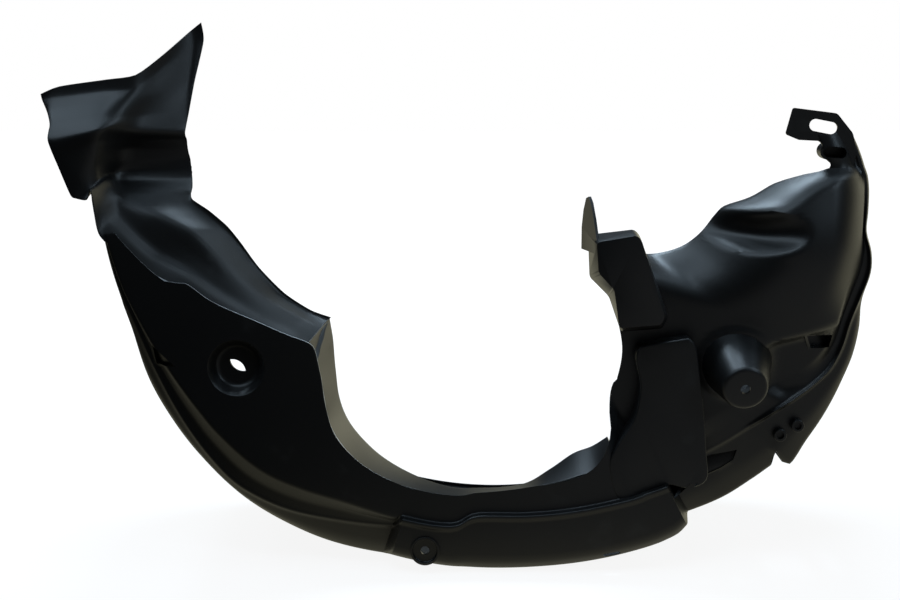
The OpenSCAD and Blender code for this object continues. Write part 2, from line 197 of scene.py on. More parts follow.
def rear_station(row):
    """A rear station counted from the face, with its swollen outline."""
    swell = shoulder_swell * step_up(row[0], *swell_in) * (1 - step_up(row[0], *swell_out))
    return row[:4] + (row[4] + swell, row[5] + recess_d, row[6] + recess_d)


rear_arc = [rear_station(row) for row in rear_depths]
rim_turn = 330


def rim_angle(angle):
    """The angle of the outboard rim's point, which at the rear end stops short of the bracket."""
    return angle if angle < rim_turn else mix(rim_turn, angle, 0.5)


# %% [markdown]
# ## How deep the face lies
# The front of the face is flat. Behind the opening it sinks, swells into a dome, dips into a long dish and
# rolls back towards its free edge, over a wide strip beside the box and a narrow one on the dome. Each of
# these is one small function of the place, and the depth is their sum, so each can be changed without
# touching the others. The spans are angles in degrees between which a form grows in or fades out.

# %% Depth of the face
sink_span = (290, 296)
dome_h = 26
dome_at = (262, -80)
dome_reach = 80
dome_span = (300, 320)
dish_d = 18
dish_l = 45
dish_at = (231, -51)
dish_up = 17
dish_down = 25
dish_crease = 7
bowl_depth = 1.1 * dish_d
bowl_power = 1.4
dome_foot = [(240, -158), (274, -149), (309, -140), (328, -126), (340, -104), (344, -84)]
dome_step_d = 10
dome_step_w = 8
dome_step_from = (232, 256)
edge_roll_d = 38
edge_roll_w = 96
edge_roll_power = 2.5
edge_roll_span = (318, 330)
dome_roll_w = 44
dome_roll_span = (341, 351)
end_roll_drop = 0.6
end_roll_span = (356, 361)
back_roll_d = 20
back_roll_w = 34
back_roll_span = (330, 346)
boss_at = (215, -179)
boss_foot_r = 33
flare_h = 3
flare_w = 6


def lookup(value, table):
    """The table's second column at the value, on straight lines between its rows."""
    if value <= table[0][0]:
        return table[0][1]
    for (x0, z0), (x1, z1) in zip(table, table[1:]):
        if value <= x1:
            return mix(z0, z1, (value - x0) / (x1 - x0))
    return table[-1][1]


def nearness(gap, width):
    """1 at an edge, 0 at a width away from it and beyond."""
    return min(1, max(0, 1 - gap / width))


def edge_roll(angle, gap):
    """The skin rolls back towards the opening's edge."""
    near = nearness(gap, mix(edge_roll_w, dome_roll_w, step_up(angle, *dome_roll_span))) ** edge_roll_power
    deep = edge_roll_d * step_up(angle, *edge_roll_span)
    return deep * (1 - end_roll_drop * step_up(angle, *end_roll_span)) * near


def back_roll(angle, gap):
    """The skin rolls back towards its outer edge behind the dome."""
    return back_roll_d * step_up(angle, *back_roll_span) * nearness(gap, back_roll_w) ** 2


def dome_swell(x, z):
    return dome_h * math.exp(-(math.hypot(x - dome_at[0], z - dome_at[1]) / dome_reach) ** 2)


def dome_step(x, z):
    """Below the dome's foot the skin steps back."""
    return dome_step_d * step_up(x, *dome_step_from) * step_up(lookup(x, dome_foot) - z, 0, dome_step_w)


def dish_dip(x, z):
    """A long bowl that drops fast from its upper lip to a crease and rises slowly below it."""
    crease = dish_at[1] - dish_crease
    reach = dish_up + dish_crease if z > crease else dish_down - dish_crease
    spread = ((x - dish_at[0]) / dish_l) ** 2 + ((z - crease) / reach) ** 2
    return bowl_depth * max(0, 1 - spread) ** bowl_power


def boss_flare(x, z):
    """The skin sweeps up to meet the cone boss."""
    gap = math.hypot(x - boss_at[0], z - boss_at[1]) - boss_foot_r
    return flare_h * max(0, 1 - max(0, gap) / flare_w) ** 2


def face_depth(angle, radius, inner, outer):
    if angle < sink_span[0]:
        return 0
    x = radius * math.cos(math.radians(angle))
    z = radius * math.sin(math.radians(angle))
    sunk = recess_d * step_up(angle, *sink_span)
    swell = step_up(angle, *dome_span) * dome_swell(x, z)
    rolled = edge_roll(angle, radius - inner) + back_roll(angle, outer - radius)
    return sunk + rolled - swell + dish_dip(x, z) + dome_step(x, z) - boss_flare(x, z)


# %% [markdown]
# ## Section of the arch
# At each station the section runs from the opening's edge over the face and the band, turns over the
# shoulder and goes back along the arch to the outboard rim, where a lip turns inwards. At the rear a low
# bead stands between the band and the shoulder. A moulding has no sharp corners, so the broken line gets a
# small arc at each of them. Where the shoulder bends is one pair of shares for the sides and one for the
# crown, and a few rows lead from the one to the other.

# %% Section rows
face_steps = 44
corner_steps = 4
face_radius = 5
section_radii = [face_radius, 3, 3, 1.5, 2, 6, 6, 8, 20, 20, 3, 3]
bead_h = 3.5
bead_w = 3
bead_in = (312, 318)
bead_out = (350, 358)
side_bend = (0.45, 0.6)
crown_bend = (0.1, 0.78)
section_turn = 0.8


def bead(angle):
    """Height of the bead between the rear band and its shoulder, which fades out at both ends."""
    return bead_h * step_up(angle, *bead_in) * (1 - step_up(angle, *bead_out))


def arch_row(station, bend_level, bend_at):
    angle, inner, face_r, band_r, out_r, band_y, out_y = station
    cut = min(face_radius, 0.3 * (face_r - inner))

    def face_point(radius):
        return polar(angle, radius, face_depth(angle, radius, inner, face_r))

    def barrel_point(share):
        return polar(mix(angle, rim, share), mix(out_r + 1, rim_r, share), mix(out_y, barrel_d, share))

    face = [face_point(mix(inner, face_r - cut, k / face_steps)) for k in range(face_steps + 1)]
    rim = rim_angle(angle)
    section = [
        face[-1],
        face_point(face_r),
        polar(angle, mix(face_r, band_r, 0.5), max(face_depth(angle, face_r, inner, face_r), band_y - 1)),
        polar(angle, band_r - bead_w, band_y),
        polar(angle, band_r, band_y - bead(angle)),
        polar(angle, band_r + bead_w, mix(band_y, out_y, 0.2)),
        polar(angle, mix(band_r + bead_w, out_r, bend_at), mix(band_y, out_y, bend_level)),
        polar(angle, out_r, out_y),
        polar(mix(angle, rim, 0.1), out_r + 1, out_y + 10),
        barrel_point(0.35),
        barrel_point(0.6),
        polar(rim, rim_r, barrel_d - 4),
        polar(rim, rim_r - 4, barrel_d),
        polar(rim, rim_r - lip_h, barrel_d),
    ]
    return face[:-1] + rounded(section, section_radii, corner_steps)


def by_angle(row, following):
    """How many sections there are from one station to the next."""
    return max(1, math.ceil((following[0] - row[0]) / section_turn))


ramp_steps = 5


def ramp(station, following, bend_a, bend_b):
    """Rows that step smoothly from one length of the arch to the next."""
    rows = []
    for k in range(1, ramp_steps):
        share = k / ramp_steps
        halfway = [mix(a, b, ease(share)) for a, b in zip(station, following)]
        halfway[0] = mix(station[0], following[0], share)
        rows.append(arch_row(halfway, *(mix(a, b, share) for a, b in zip(bend_a, bend_b))))
    return rows


arch_rows = [arch_row(row, *side_bend) for row in refine(front_arc, by_angle)]
arch_rows += ramp(front_arc[-1], crown_arc[0], side_bend, crown_bend)
arch_rows += [arch_row(row, *crown_bend) for row in refine(crown_arc, by_angle)]
arch_rows += ramp(crown_arc[-1], rear_arc[0], crown_bend, side_bend)
arch_rows += [arch_row(row, *side_bend) for row in refine(rear_arc, by_angle)]
print("the arch has", len(arch_rows), "sections of", len(arch_rows[0]), "points")

# %% [markdown]
# ## Shelf, wing and collar
# Above the front face the skin goes up a slope, over a riser and up a second slope to a free edge with a
# lip. This shelf rises into the wing that closes the side. Their rows run from the edge that the face
# carries to the free edge. Folded sheet has flat panels between tight bends, so these curves are slack,
# which keeps them close to straight between their points. The collar is a short wall that runs back from
# the opening's edge.

# %% Rows of the shelf, the wing and the collar
shelf_rows = [
    [(-169, 1.5, -174), (-167, 8, -168), (-166, 16, -162), (-164, 24, -156),
     (-163, 33, -150), (-161, 47, -144), (-159, 48, -141)],
    [(-190, 1.5, -160), (-190, 8, -153), (-189, 16, -148), (-187, 24, -143),
     (-184, 32, -139), (-180, 47, -136), (-178, 48, -134)],
    [(-224, 1.5, -143), (-222, 8, -137), (-219, 14, -133), (-215, 22, -127),
     (-213, 30, -122), (-205, 47, -120), (-202, 48, -118)],
    [(-258, 1.5, -127), (-255, 8, -119), (-252, 16, -113), (-247, 21, -107),
     (-242, 28, -100), (-228, 47, -95), (-225, 48, -94)],
    [(-290, 1.5, -108), (-286, 8, -98), (-282, 17, -92), (-275, 22, -84),
     (-267, 27, -73), (-246, 47, -72), (-242, 48, -70)],
    [(-318, 1.5, -93), (-315, 8, -83), (-309, 18, -77), (-298, 22, -67),
     (-284, 26, -57), (-259, 46, -58), (-254, 48, -55)],
    [(-344, 1.5, -75), (-338, 8, -63), (-332, 18, -57), (-322, 22, -48),
     (-311, 27, -42), (-276, 47, -44), (-270, 48, -41)],
    [(-361, 1.5, -58), (-355, 8, -48), (-347, 20, -40), (-340, 24, -35),
     (-331, 30, -32), (-290, 48, -34), (-285, 50, -31)],
    [(-365, 2, -38), (-360, 10, -33), (-353, 22, -27), (-348, 28, -25),
     (-341, 36, -24), (-292, 52, -27), (-287, 53, -26)],
    [(-367, 3, -23), (-363, 12, -21), (-358, 24, -18), (-353, 32, -18),
     (-346, 42, -19), (-292, 55, -22), (-286, 56, -20)],
    [(-369, 4, -17), (-365, 14, -14), (-360, 26, -11), (-356, 36, -11),
     (-350, 50, -13), (-293, 62, -13), (-287, 63, -12)],
]
wing_rows = [
    [(-375, 12, -27), (-371, 16, -19), (-365, 24, -10), (-360, 38, -6),
     (-350, 54, -5), (-293, 65, -5), (-288, 66, -5)],
    [(-384, 13, -26), (-376, 15, -11), (-367, 21, 1), (-359, 36, 4),
     (-344, 54, 5), (-295, 66, 5), (-289, 67, 5)],
    [(-389, 14, -23), (-381, 14, -3), (-366, 18, 13), (-358, 32, 15),
     (-342, 51, 16), (-295, 65, 14), (-291, 66, 14)],
    [(-398, 14, 0), (-391, 13, 11), (-365, 15, 24), (-356, 27, 25),
     (-338, 46, 24), (-296, 62, 23), (-291, 63, 23)],
    [(-407, 13, 26), (-399, 12, 27), (-364, 12, 35), (-352, 20, 37),
     (-334, 40, 33), (-296, 58, 31), (-292, 60, 30)],
    [(-407, 24, 41), (-404, 23, 42), (-363, 23, 48), (-346, 30, 47),
     (-328, 46, 47), (-294, 64, 48), (-289, 66, 48)],
    [(-413, 36, 52), (-407, 33, 53), (-362, 33, 60), (-340, 38, 62),
     (-320, 52, 65), (-291, 72, 74), (-284, 74, 77)],
    [(-418, 42, 61), (-404, 39, 63), (-359, 39, 69), (-334, 44, 72),
     (-313, 60, 88), (-286, 80, 108), (-276, 81, 113)],
    [(-419, 42, 66), (-401, 41, 73), (-359, 41, 79), (-333, 46, 83),
     (-311, 61, 100), (-288, 81, 122), (-278, 82, 130)],
]
collar_d = 42
collar_arc = [
    (221.5, 236, 214, collar_d + 8), (226, 246, 226, collar_d + 6), (231, 260, 246, collar_d + 4),
    (235, 278, 264, collar_d), (239, 290, 278, collar_d), (244, 299, 289, collar_d),
    (249, 303, 297, collar_d), (256, 304, 304, collar_d), (262, 303, 307, collar_d),
    (266, 298, 305, collar_d), (274, 293, 301, collar_d), (279, 291, 290, collar_d),
    (284, 289, 279, collar_d), (288, 287, 277, collar_d), (291.5, 276, 273, collar_d),
]


def refine_grid(rows, along, across, pull=0.5):
    """Smooth curves both along the rows' direction and across it."""
    fine = [refine(row, across, pull) for row in rows]
    columns = [refine(column, along, pull) for column in zip(*fine)]
    return [[Vector(point) for point in row] for row in zip(*columns)]


def collar_row(station):
    angle, edge_r, back_r, depth = station
    return [
        polar(angle, back_r, depth), polar(angle, mix(edge_r, back_r, 0.6), 0.6 * depth),
        polar(angle, mix(edge_r, back_r, 0.15), 7), polar(angle, edge_r, 1),
    ]


sheet_pull = 0.36
row_steps = 7
span_steps = [4, 4, 4, 4, 6, 10, 2]
upper_rows = refine_grid(shelf_rows + wing_rows, row_steps, span_steps, sheet_pull)
collar_rows = refine_grid([collar_row(station) for station in refine(collar_arc, by_angle)], 1, 4)
print("the upper skin has", len(upper_rows), "x", len(upper_rows[0]), "points")
print("the collar has", len(collar_rows), "x", len(collar_rows[0]), "points")

# %% [markdown]
# ## From rows to walls
# A grid from bmesh.ops.create_grid already has the right vertices and faces, so only the places are set,
# from the rows. Solidify then gives the skin its wall on the hidden side and marks the faces of its rim, so
# that bevel can break the free edges, which on the real moulding show as thin bright lines.

# %% Building a skin
edge_break = 0.7
edge_break_steps = 2
rim_mark = 1


def place(point):
    return axle + MM * Vector(point)


def new_object(name, bm):
    mesh = bpy.data.meshes.new(name)
    bm.to_mesh(mesh)
    bm.free()
    obj = bpy.data.objects.new(name, mesh)
    scene.collection.objects.link(obj)
    return obj


def apply_modifiers(obj):
    """Replaces the object's mesh with the result of its modifiers."""
    graph = bpy.context.evaluated_depsgraph_get()
    result = bpy.data.meshes.new_from_object(obj.evaluated_get(graph))
    obj.modifiers.clear()
    obj.data = result
    return obj


def bevel(bm, edges, radius, segments):
    bmesh.ops.bevel(
        bm, geom=edges, offset=MM * radius, offset_type="OFFSET", affect="EDGES", segments=segments,
        profile=0.5, material=-1, clamp_overlap=True,
    )


def skin(name, rows):
    """A moulded wall whose outer side runs through the rows."""
    bm = bmesh.new()
    across, along = len(rows[0]) - 1, len(rows) - 1
    bmesh.ops.create_grid(bm, x_segments=across, y_segments=along, size=1)
    bm.verts.ensure_lookup_table()
    for vertex, point in zip(bm.verts, (point for row in rows for point in row)):
        vertex.co = place(point)
    obj = new_object(name, bm)
    solid = obj.modifiers.new("wall", "SOLIDIFY")
    solid.thickness = MM * wall
    solid.offset = -1
    solid.use_even_offset = True
    solid.use_quality_normals = True
    solid.thickness_clamp = 1.5
    solid.material_offset_rim = rim_mark
    for _ in range(rim_mark + 1):
        obj.data.materials.append(None)
    apply_modifiers(obj)
    bm = bmesh.new()
    bm.from_mesh(obj.data)
    free = [e for e in bm.edges if len({f.material_index for f in e.link_faces}) == 2]
    bevel(bm, free, edge_break, edge_break_steps)
    for face in bm.faces:
        face.material_index = 0
    bm.to_mesh(obj.data)
    bm.free()
    obj.data.materials.clear()
    return obj


arch = skin("arch", arch_rows)
upper = skin("upper", upper_rows)
collar = skin("collar", collar_rows)
for wall_skin in (arch, upper, collar):
    print(wall_skin.name, "has", len(wall_skin.data.polygons), "faces")

# %% [markdown]
# ## Blocks and hollows
# The raised panel, the box, the cone boss, the round dish and the screw seat are hollow from behind, as
# every raised form of a moulding is. Each is made as a solid block that joins the skin and a smaller
# hollow that is cut out of it again. A block starts as its outline: one face, whose corners are rounded
# with bevel, extruded to its depth and bevelled along its front.

# %% Outlines to blocks
upright_turn = 24
upright_steps = 5
front_turn = 0.5
front_steps = 4


def block(name, front, back, y_front, y_back, corner=0, edge=0):
    """A block between two outlines in X and Z. corner rounds its upright edges, and edge its front ones."""
    bm = bmesh.new()
    near = bm.faces.new([bm.verts.new(place((x, y_front, z))) for x, z in front])
    near_verts = list(near.verts)
    made = bmesh.ops.extrude_face_region(bm, geom=[near], use_keep_orig=True)
    far = next(item for item in made["geom"] if isinstance(item, bmesh.types.BMFace))
    for vertex, (x, z) in zip(far.verts, back):
        vertex.co = place((x, y_back, z))
    bmesh.ops.recalc_face_normals(bm, faces=bm.faces)
    if corner:
        sides = [f for f in bm.faces if f not in (near, far)]
        upright = [
            e for v in near_verts for e in v.link_edges
            if all(f in sides for f in e.link_faces) and e.calc_face_angle(0) > math.radians(upright_turn)
        ]
        bevel(bm, upright, corner, upright_steps)
    if edge:
        front_y = place((0, y_front, 0)).y
        rim = [e for e in bm.edges if sum(abs(v.co.y - front_y) < 1e-6 for v in e.verts) == 2]
        bevel(bm, [e for e in rim if e.calc_face_angle(0) > front_turn], edge, front_steps)
    return new_object(name, bm)


def straight(name, outline, y_front, depth, corner=0, edge=0):
    return block(name, outline, outline, y_front, y_front + depth, corner, edge)


def smooth_outline(outline, steps):
    """A closed Catmull-Rom curve through the outline's points."""
    count = len(outline)
    picked = [[outline[(i + k) % count] for k in (-1, 0, 1, 2)] for i in range(count)]
    return [curve_between(*four, k / steps) for four in picked for k in range(steps)]


def inset_outline(outline, distance):
    """The clockwise outline moved inwards by the distance, for the hollow behind a block."""
    points = [Vector(point) for point in outline]
    inner = []
    for before, here, after in zip(points[-1:] + points, points, points[1:] + points[:1]):
        a, b = (here - before).normalized(), (after - here).normalized()
        sum_of_normals = Vector((a.y + b.y, -a.x - b.x))
        inner.append(tuple(here + distance * sum_of_normals / (1 + a.dot(b))))
    return inner


# %% [markdown]
# ## Turned forms
# A cone boss, a round dish, a washer seat and every screw hole are round, so each is a profile spun about
# its own axis. The profile runs from axis to axis, with its corners rounded first; spin closes the turn
# and merging the doubles closes the two ends on the axis.

# %% Profiles to turned forms
turned_steps = 72


def turned(name, profile, matrix):
    """Spins a profile of radius and height about the Z axis, then puts it in place."""
    bm = bmesh.new()
    line = [bm.verts.new((MM * radius, 0, MM * height)) for radius, height in profile]
    edges = [bm.edges.new(pair) for pair in zip(line, line[1:])]
    bmesh.ops.spin(
        bm, geom=line + edges, cent=(0, 0, 0), axis=(0, 0, 1), angle=math.tau, steps=turned_steps,
        use_merge=True,
    )
    bmesh.ops.remove_doubles(bm, verts=bm.verts, dist=1e-7)
    bmesh.ops.recalc_face_normals(bm, faces=bm.faces)
    bmesh.ops.transform(bm, matrix=matrix, verts=bm.verts)
    return new_object(name, bm)


def soft_profile(points, radii):
    """A profile whose inner corners are rounded."""
    fine = rounded([Vector((radius, height, 0)) for radius, height in points], radii, corner_steps)
    return [(point.x, point.y) for point in fine]


def outboard(x, y, z):
    """A place for a turned form whose axis points outboard, away from the viewer."""
    return Matrix.Translation(place((x, y, z))) @ Matrix.Rotation(math.radians(-90), 4, "X")


def hole(name, x, z, y_front, depth, radius):
    return turned(name, [(0, 0), (radius, 0), (radius, depth), (0, depth)], outboard(x, y_front, z))


# %% [markdown]
# ## The raised panel and the box
# The panel beside the opening stands level with the face, 20 mm in front of the skin around it. The box
# above it holds a duct or a sensor on the real car. It narrows towards its front, so its back outline is
# larger than its front one, and it leaves the mould easily. Its walls reach far enough back to meet the
# skin where it rolls away.

# %% The panel and the box
panel_rise = 0.5
panel_outline = [
    (98, -271), (106, -250), (119, -229), (124, -210), (125, -193), (121, -174), (121, -166), (124, -160),
    (130, -158), (164, -152), (170, -153), (174, -158), (177, -170), (183, -214), (187, -258), (188, -284),
    (171, -292), (152, -289), (131, -296), (108, -303),
]
box_edge = [(80, -59), (115, -53), (119, -57), (141, -124), (138, -132), (101, -135), (96, -101), (82, -86)]
box_foot = [(78, -61), (120, -56), (125, -61), (154, -138), (148, -149), (110, -152), (98, -118), (80, -100)]
box_h = 56
box_y = recess_d - box_h
box_root = 10
box_back = recess_d + box_root
panel_line = smooth_outline(panel_outline, 4)
panel_block = straight("panel_block", panel_line, -panel_rise, recess_d + wall + panel_rise, edge=1.5)
panel_hollow = straight("panel_hollow", inset_outline(panel_line, wall), wall - panel_rise, recess_d + wall)

box_block = block("box_block", box_edge, box_foot, box_y, box_back, corner=5, edge=3.5)
box_hollow = block(
    "box_hollow", inset_outline(box_edge, wall), inset_outline(box_foot, wall), box_y + wall,
    box_back + 2 * wall, corner=3, edge=2,
)
print("the panel and the box are made")

# %% [markdown]
# ## The flap, the bracket and the cups
# A thin flap stands beside the box, the bracket carries the rear end with a long hole and a folded pocket,
# and two small cups for push rivets sit on the arch by the notch.

# %% The flap, the bracket and the cups
flap_outline = [
    (-40, -72), (-40, -60), (-32, -42), (-24, -28), (-18, -23), (-12, -25), (-6, -36), (-2, -52), (-2, -72),
]
flap_x = 76
flap_turn = 16
bracket_outline = [
    (256, 30), (262, 54), (302, 49), (317, 31), (321, 14), (318, -2), (300, 2), (293, 8), (292, 17),
    (287, 24), (268, 25),
]
bracket_t = 3
bracket_set = 14
bracket_y = recess_d + bracket_set
bracket_hole = (290, 37)
bracket_hole_r = 5.5
bracket_hole_l = 15
bracket_hole_turn = -11
fold_at = (301, 14)
fold_r = 5
fold_l = 11
fold_turn = -4
fold_d = 13
cup_places = [(259, -248), (275, -239)]
cup_r = 6
cup_h = 6
cup_y = recess_d + 2
end_steps = turned_steps // 4


def flap():
    """The flap's outline is in Y and Z, so it is extruded across X and then turned about Z."""
    bm = bmesh.new()
    face = bm.faces.new([bm.verts.new((0, MM * y, MM * z)) for y, z in flap_outline])
    made = bmesh.ops.extrude_face_region(bm, geom=[face], use_keep_orig=True)
    moved = [item for item in made["geom"] if isinstance(item, bmesh.types.BMVert)]
    bmesh.ops.translate(bm, vec=(MM * wall, 0, 0), verts=moved)
    bmesh.ops.translate(bm, vec=(0, MM * recess_d, 0), verts=bm.verts)
    bmesh.ops.recalc_face_normals(bm, faces=bm.faces)
    turn = Matrix.Rotation(math.radians(flap_turn), 4, "Z")
    bmesh.ops.transform(bm, matrix=Matrix.Translation(place((flap_x, 0, 0))) @ turn, verts=bm.verts)
    return new_object("flap", bm)


def turned_outline(outline, centre, turn):
    """The outline turned about its own origin, which is then put at the centre."""
    tilt = math.radians(turn)
    return [
        (centre[0] + x * math.cos(tilt) - z * math.sin(tilt),
         centre[1] + x * math.sin(tilt) + z * math.cos(tilt))
        for x, z in outline
    ]


def slot(name, centre, y_front, depth, half_h, centres, turn):
    """A long form with round ends, turned in the plane of the face."""
    outline = []
    for side in (1, -1):
        for k in range(end_steps + 1):
            angle = math.pi * k / end_steps - side * math.pi / 2
            outline.append((side * centres / 2 + half_h * math.cos(angle), half_h * math.sin(angle)))
    return straight(name, turned_outline(outline, centre, turn), y_front, depth)


flap_block = flap()
bracket_block = straight("bracket_block", bracket_outline, bracket_y, bracket_t, corner=2)
fold_block = slot("fold_block", fold_at, bracket_y, fold_d + wall, fold_r + wall, fold_l, fold_turn)
cup_profile = soft_profile([(0, 0), (cup_r, 0), (cup_r, 2 * cup_h), (0, 2 * cup_h)], [1, 0.2])
cup_blocks = [turned("cup_block", cup_profile, outboard(x, cup_y, z)) for x, z in cup_places]
cup_hollows = [hole("cup_hollow", x, z, cup_y - wall, cup_h, cup_r - wall) for x, z in cup_places]
bracket_cut = slot(
    "bracket_cut", bracket_hole, bracket_y - wall, bracket_t + 2 * wall, bracket_hole_r, bracket_hole_l,
    bracket_hole_turn,
)
fold_cut = slot("fold_cut", fold_at, 0, bracket_y + fold_d, fold_r, fold_l, fold_turn)
print("the flap, the bracket and the cups are made")

# %% [markdown]
# ## The cone boss, the round dish and the washer seat
# The boss stands 52 mm tall and leans down a little, so that its screw is reached from the wheel's side.
# The dish in the front face has an eye-shaped slot for a clip, and the screw seat on the crown flange is a
# shallow round sink with a hole.

# %% The boss, the dish and the seat
boss_h = 52
boss_tip_r = 20
boss_hole_r = 4.5
boss_tilt = 14
boss_root = 8
boss_slope = (boss_foot_r - boss_tip_r) / boss_h
round_at = (-242, -179)
round_r = 25
round_d = 12
round_floor_r = 19
eye_arc_r = 12
eye_w = 4
eye_turn = -38
eye_steps = 12
seat_at = (-71, -350)
seat_r = 11
seat_d = 3
seat_hole_r = 4

boss_axis = Matrix.Translation(place((boss_at[0], recess_d, boss_at[1])))
boss_axis = boss_axis @ Matrix.Rotation(math.radians(90 + boss_tilt), 4, "X")


def boss_profile(inset, root, tip_h, soften):
    """The cone's profile, inset from its outer side, from a root below the skin up to its tip."""
    foot = (boss_foot_r - inset + root * boss_slope, -root)
    tip = (boss_tip_r - inset + (boss_h - tip_h) * boss_slope, tip_h)
    return soft_profile([(0, -root), foot, tip, (0, tip_h)], [0.2, soften])


boss_block = turned("boss_block", boss_profile(0, boss_root, boss_h, 4), boss_axis)
boss_hollow = turned("boss_hollow", boss_profile(wall, 3 * boss_root, boss_h - wall, 2.5), boss_axis)
boss_cut = turned(
    "boss_cut", [(0, 0), (boss_hole_r, 0), (boss_hole_r, boss_h + wall), (0, boss_h + wall)], boss_axis
)

dish_outer = soft_profile(
    [(0, 0), (round_r + wall, 0), (round_floor_r + wall, round_d + wall), (0, round_d + wall)], [0.2, 4]
)
dish_inner = soft_profile(
    [(0, -3), (round_r + 4, -3), (round_r, 1), (round_floor_r, round_d), (0, round_d)], [0.2, 4, 3.5]
)
dish_block = turned("dish_block", dish_outer, outboard(round_at[0], 0, round_at[1]))
dish_hollow = turned("dish_hollow", dish_inner, outboard(round_at[0], 0, round_at[1]))


def eye_outline():
    """Two arcs that meet in points, turned in the plane of the face."""
    half = math.acos((eye_arc_r - eye_w) / eye_arc_r)
    points = []
    for side in (1, -1):
        for k in range(eye_steps):
            angle = side * (half - 2 * half * k / eye_steps)
            z = side * (eye_arc_r * math.cos(angle) - (eye_arc_r - eye_w))
            points.append((eye_arc_r * math.sin(angle), z))
    return turned_outline(points, round_at, eye_turn)


eye_cut = straight("eye_cut", eye_outline(), 0, round_d + 2 * wall)
seat_outer = soft_profile(
    [(0, 0), (seat_r + wall, 0), (seat_r + wall, seat_d + wall), (0, seat_d + wall)], [0.2, 1.5]
)
seat_inner = soft_profile(
    [(0, -wall), (seat_r + 3, -wall), (seat_r, 0.6), (seat_r, seat_d), (0, seat_d)], [0.2, 2, 1]
)
seat_block = turned("seat_block", seat_outer, outboard(seat_at[0], -flange_d, seat_at[1]))
seat_hollow = turned("seat_hollow", seat_inner, outboard(seat_at[0], -flange_d, seat_at[1]))
seat_cut = hole("seat_cut", *seat_at, -flange_d - wall, seat_d + 3 * wall, seat_hole_r)
print("the boss, the dish and the seat are made")

# %% [markdown]
# ## Notch, pockets and drain slot
# The outline has a notch by the cups, two pockets for clips at the outer band and a drain slot at the
# lowest point of the crown flange. A clip sits in a recess beside the lower edge of the dome, which is
# deepest along its upper edge and runs out at its lower one. The skin is tilted where the pockets are, so
# each pocket's front and floor take their depth from the skin at every corner.

# %% The other openings
clip_outline = [
    (164, -297), (182, -277), (197, -268), (220, -263), (217, -273), (206, -281), (194, -287), (178, -293),
]
clip_depths = [0.5, 5, 6, 5, 2, 1, 0.5, 0.5]
front_pocket = [(-297, -178), (-316, -177), (-318, -158)]
front_pocket_depths = [0.5, 5, 5]
rear_pocket = [(278, -152), (304, -153), (302, -165), (284, -165)]
rear_pocket_depths = [12, 12, 8, 8]
pocket_reach = 5 * wall
drain_at = (102, -355)
drain_r = 2
drain_l = 12
drain_turn = 9
notch_outline = [(257, -264), (253, -290), (272, -290)]


def skin_y(x, z):
    """How deep the arch's outer side lies at a place, from the nearest section."""

    def gap(row):
        return abs(math.atan2(row[0].z, row[0].x) - math.atan2(z, x))

    section = [(math.hypot(point.x, point.z), point.y) for point in min(arch_rows, key=gap)]
    crest = max(range(len(section)), key=lambda i: section[i][0] - 0.02 * section[i][1])
    return lookup(math.hypot(x, z), section[:crest])


def tilted(name, outline, fronts, backs):
    """A block whose front and back have their own depth at each corner."""
    bm = bmesh.new()
    rings, hubs = [], []
    for depths in (fronts, backs):
        ring = [bm.verts.new(place((x, y, z))) for (x, z), y in zip(outline, depths)]
        rings.append(ring)
        hubs.append(bm.verts.new(sum((v.co for v in ring), Vector()) / len(ring)))
    for i in range(len(outline)):
        k = (i + 1) % len(outline)
        bm.faces.new([rings[0][i], rings[0][k], rings[1][k], rings[1][i]])
        for ring, hub in zip(rings, hubs):
            bm.faces.new([ring[i], ring[k], hub])
    bmesh.ops.recalc_face_normals(bm, faces=bm.faces)
    return new_object(name, bm)


def pocket(name, outline, depths):
    """The block behind the skin and the cut into it that make a blind pocket. The outline is clockwise."""
    outer = inset_outline(outline, -wall)
    starts = [skin_y(x, z) + 1 for x, z in outer]
    floors = [skin_y(x, z) + depth for (x, z), depth in zip(outline, depths)]
    backing = tilted(name + "_block", outer, starts, [floor + wall for floor in floors])
    return backing, tilted(name + "_cut", outline, [start - pocket_reach for start in starts], floors)


clip_block, clip_cut = pocket("clip", clip_outline, clip_depths)
front_block, front_cut = pocket("front_pocket", front_pocket, front_pocket_depths)
rear_block, rear_cut = pocket("rear_pocket", rear_pocket, rear_pocket_depths)
cuts = [
    straight("notch_cut", notch_outline, recess_d / 2, 4 * recess_d),
    slot("drain_cut", drain_at, -2 * flange_d, 4 * flange_d, drain_r, drain_l, drain_turn),
    clip_cut, front_cut, rear_cut,
]

# %% [markdown]
# ## One piece
# The real liner comes out of the mould as one piece, so the skins and blocks are joined with a Boolean
# union, and the hollows and holes are cut from the result. Then edges that turn by more than a set angle
# are marked sharp, everything else is shaded smooth, and the front's free edge gets the attribute for its
# painted highlight.

# %% Joining and cutting
sharp_turn = 32
weld = 1e-6
# The limits below pick the faces of the front's free edge that get a painted highlight, a pale colour in
# place of the light its rounded edge catches.
painted_highlight_end = -104
painted_highlight_reach = 1.6
painted_highlight_depths = (-0.5, wall + 0.3)
painted_highlight_facing = 0.96
front_edge = [(row[0], row[1]) for row in refine(front_arc, by_angle)]


def gets_painted_highlight(face):
    """Whether a face lies on the free edge of the flat front, where a pale base colour is painted as a
    highlight.
    """
    spot = (face.calc_center_median() - axle) / MM
    if spot.x > painted_highlight_end or not painted_highlight_depths[0] < spot.y < painted_highlight_depths[1]:
        return False
    angle = math.degrees(math.atan2(spot.z, spot.x)) % 360
    gap = abs(math.hypot(spot.x, spot.z) - lookup(angle, front_edge))
    return gap < painted_highlight_reach and abs(face.normal.y) < painted_highlight_facing


def combine(target, tools, operation):
    """Adds the tools to the target, or cuts them from it, and then removes them."""
    for tool in tools:
        step = target.modifiers.new(tool.name, "BOOLEAN")
        step.operation = operation
        step.solver = "MANIFOLD"
        step.object = tool
    apply_modifiers(target)
    for tool in tools:
        bpy.data.objects.remove(tool)


